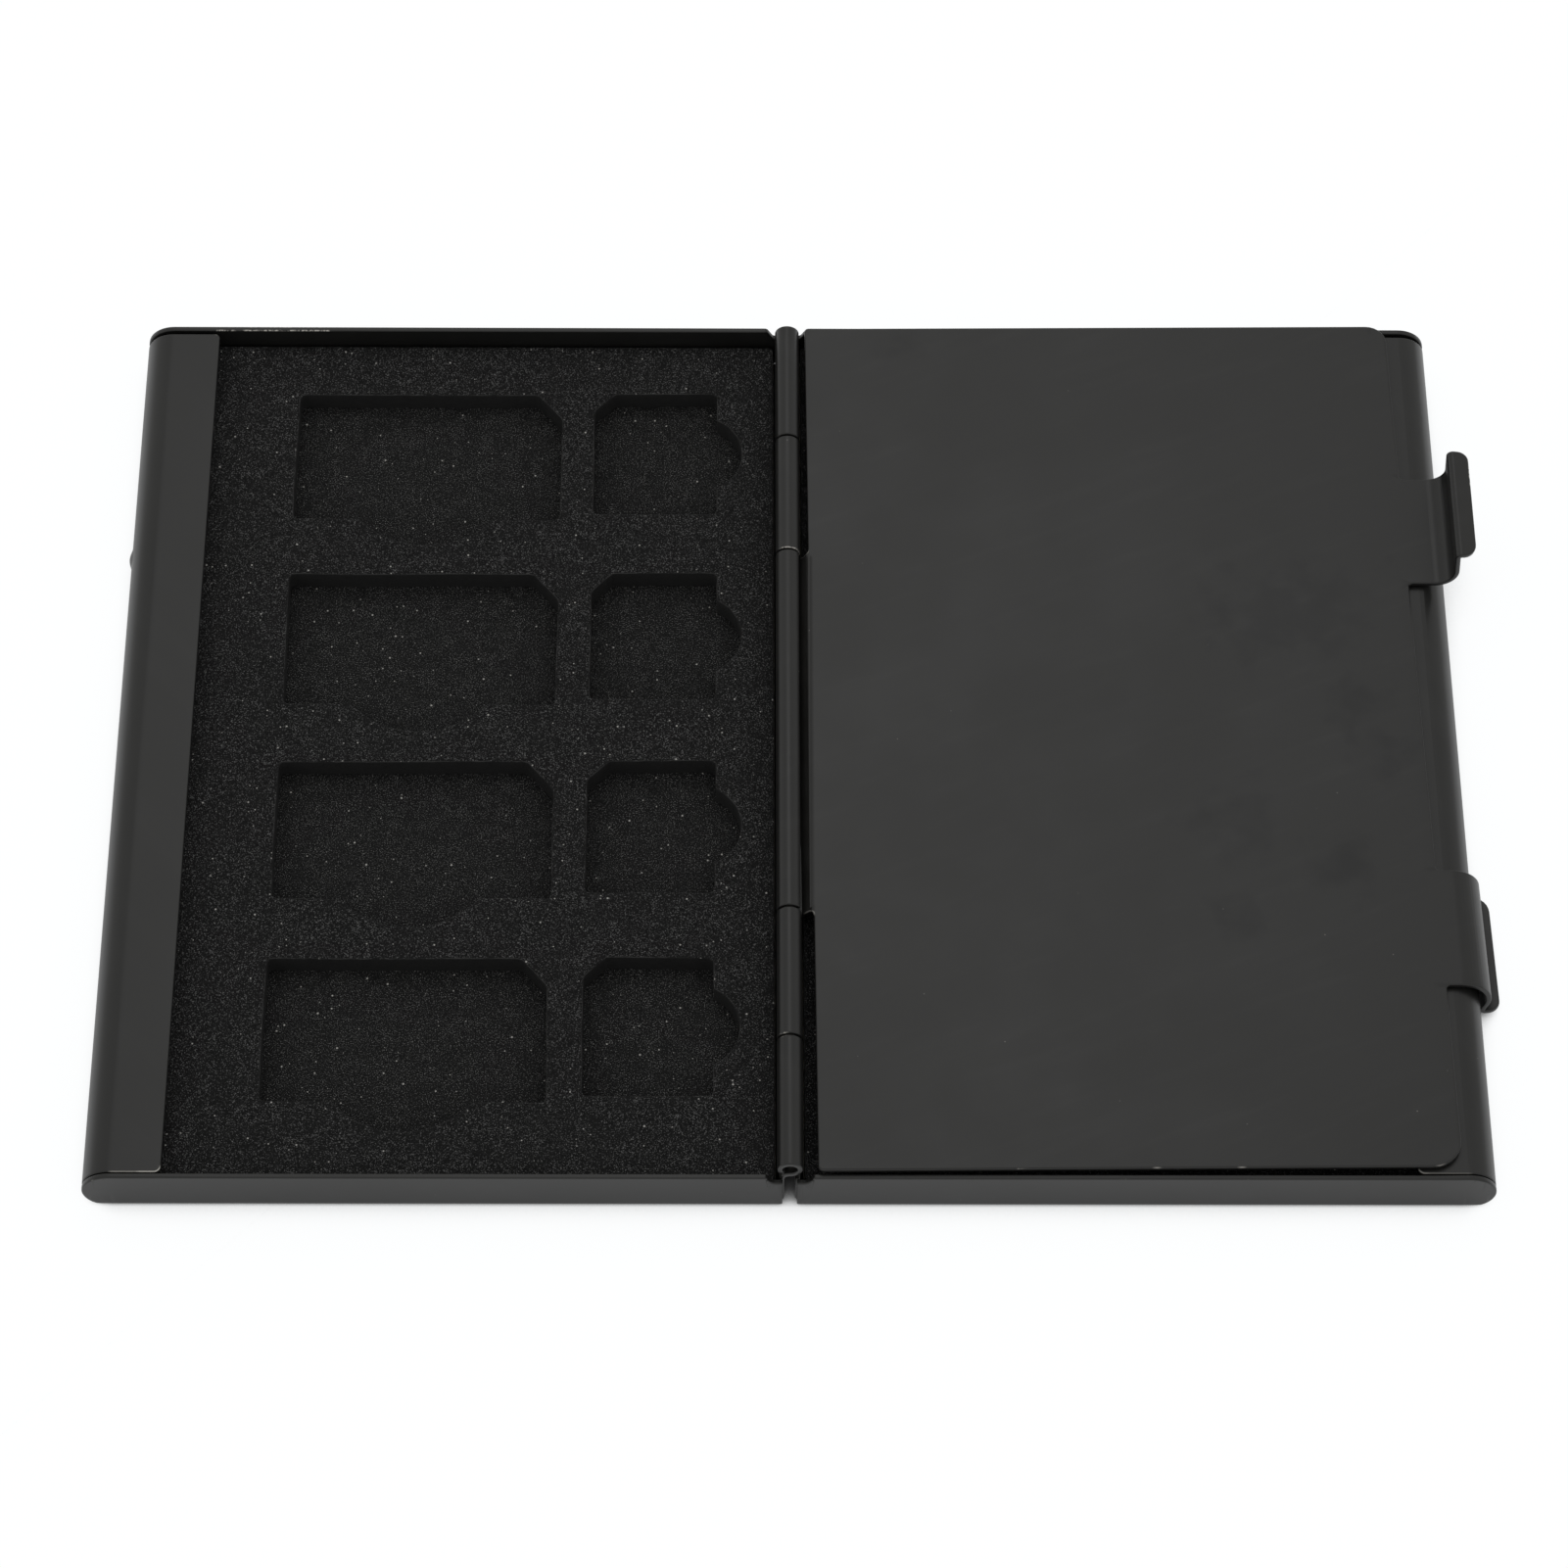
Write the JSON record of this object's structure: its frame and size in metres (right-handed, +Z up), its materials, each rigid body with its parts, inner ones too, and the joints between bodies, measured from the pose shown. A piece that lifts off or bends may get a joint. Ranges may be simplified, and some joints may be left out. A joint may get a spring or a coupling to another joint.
{
  "type": "sim card case",
  "caption": "Flat folding card case of black sheet metal: two foam-lined trays with die-cut SIM card pockets and a divider leaf with spring tabs, on one hinge pin.",
  "frame": {"origin": "middle of the opened case's box, on the table it lies on", "axes": "+X across the opened case from the left tray to the right tray, +Y along the hinge to the back, +Z up out of the trays"},
  "size_m": [0.1262, 0.093, 0.0106],
  "materials": {
    "black_sheet": "satin black anodised, fine matt grain",
    "pin_steel": "drawn wire, dull",
    "black_foam": "fine-celled matt foam",
    "adhesive_film": "double-sided film, milky"
  },
  "bodies": {
    "right_half": {"right_shell": "black_sheet", "hinge_pin": "pin_steel", "right_foam_insert": "black_foam", "right_foam_base": "black_foam", "right_adhesive": "adhesive_film"},
    "left_half": {"left_shell": "black_sheet", "left_foam_insert": "black_foam", "left_foam_base": "black_foam", "left_adhesive": "adhesive_film"},
    "divider": {"divider_plate": "black_sheet"}
  },
  "joints": [
    {"name": "left_fold", "type": "hinge", "parent": "right_half", "child": "left_half", "pos_m": [-0.00096, 0, 0.00575], "axis": [0, 1, 0], "range_deg": [0, 180]},
    {"name": "divider_fold", "type": "hinge", "parent": "right_half", "child": "divider", "pos_m": [-0.00096, 0, 0.00575], "axis": [0, -1, 0], "range_deg": [0, 180]}
  ]
}
